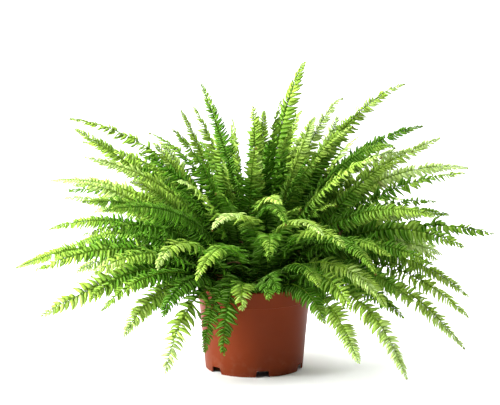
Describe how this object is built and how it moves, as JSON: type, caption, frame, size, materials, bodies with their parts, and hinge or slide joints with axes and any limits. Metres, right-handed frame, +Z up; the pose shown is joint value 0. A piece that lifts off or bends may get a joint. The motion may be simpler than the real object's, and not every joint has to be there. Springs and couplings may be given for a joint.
{
  "type": "potted fern",
  "caption": "Full arching sword fern with narrow leaflets on long fronds, standing in compost in a round tapered plastic nursery pot with a rim collar and a notched foot.",
  "frame": {"origin": "middle of the underside of the pot's foot", "axes": "+Z up, +X to the right as the plant is seen from its front, -Y towards that viewer"},
  "size_m": [0.7894, 0.6494, 0.5145],
  "materials": {
    "pot": "satin",
    "compost": "matte",
    "leaf": "satin"
  },
  "bodies": {
    "root": {"compost": "compost", "frond_01": "leaf", "frond_02": "leaf", "frond_03": "leaf", "frond_04": "leaf", "frond_05": "leaf", "frond_06": "leaf", "frond_07": "leaf", "frond_08": "leaf", "frond_09": "leaf", "frond_10": "leaf", "frond_11": "leaf", "frond_12": "leaf", "frond_13": "leaf", "frond_14": "leaf", "frond_15": "leaf", "frond_16": "leaf", "frond_17": "leaf", "frond_18": "leaf", "frond_19": "leaf", "frond_20": "leaf", "frond_21": "leaf", "frond_22": "leaf", "frond_23": "leaf", "frond_24": "leaf", "frond_25": "leaf", "frond_26": "leaf", "frond_27": "leaf", "frond_28": "leaf", "frond_29": "leaf", "frond_30": "leaf", "frond_31": "leaf", "frond_32": "leaf", "frond_33": "leaf", "frond_34": "leaf", "frond_35": "leaf", "frond_36": "leaf", "frond_37": "leaf", "frond_38": "leaf", "frond_39": "leaf", "frond_40": "leaf", "frond_41": "leaf", "frond_42": "leaf", "frond_43": "leaf", "frond_44": "leaf", "frond_45": "leaf", "frond_46": "leaf", "frond_47": "leaf", "frond_48": "leaf", "frond_49": "leaf", "frond_50": "leaf", "frond_51": "leaf", "frond_52": "leaf", "frond_53": "leaf", "frond_54": "leaf", "frond_55": "leaf", "frond_56": "leaf", "frond_57": "leaf", "pot": "pot"}
  },
  "joints": []
}
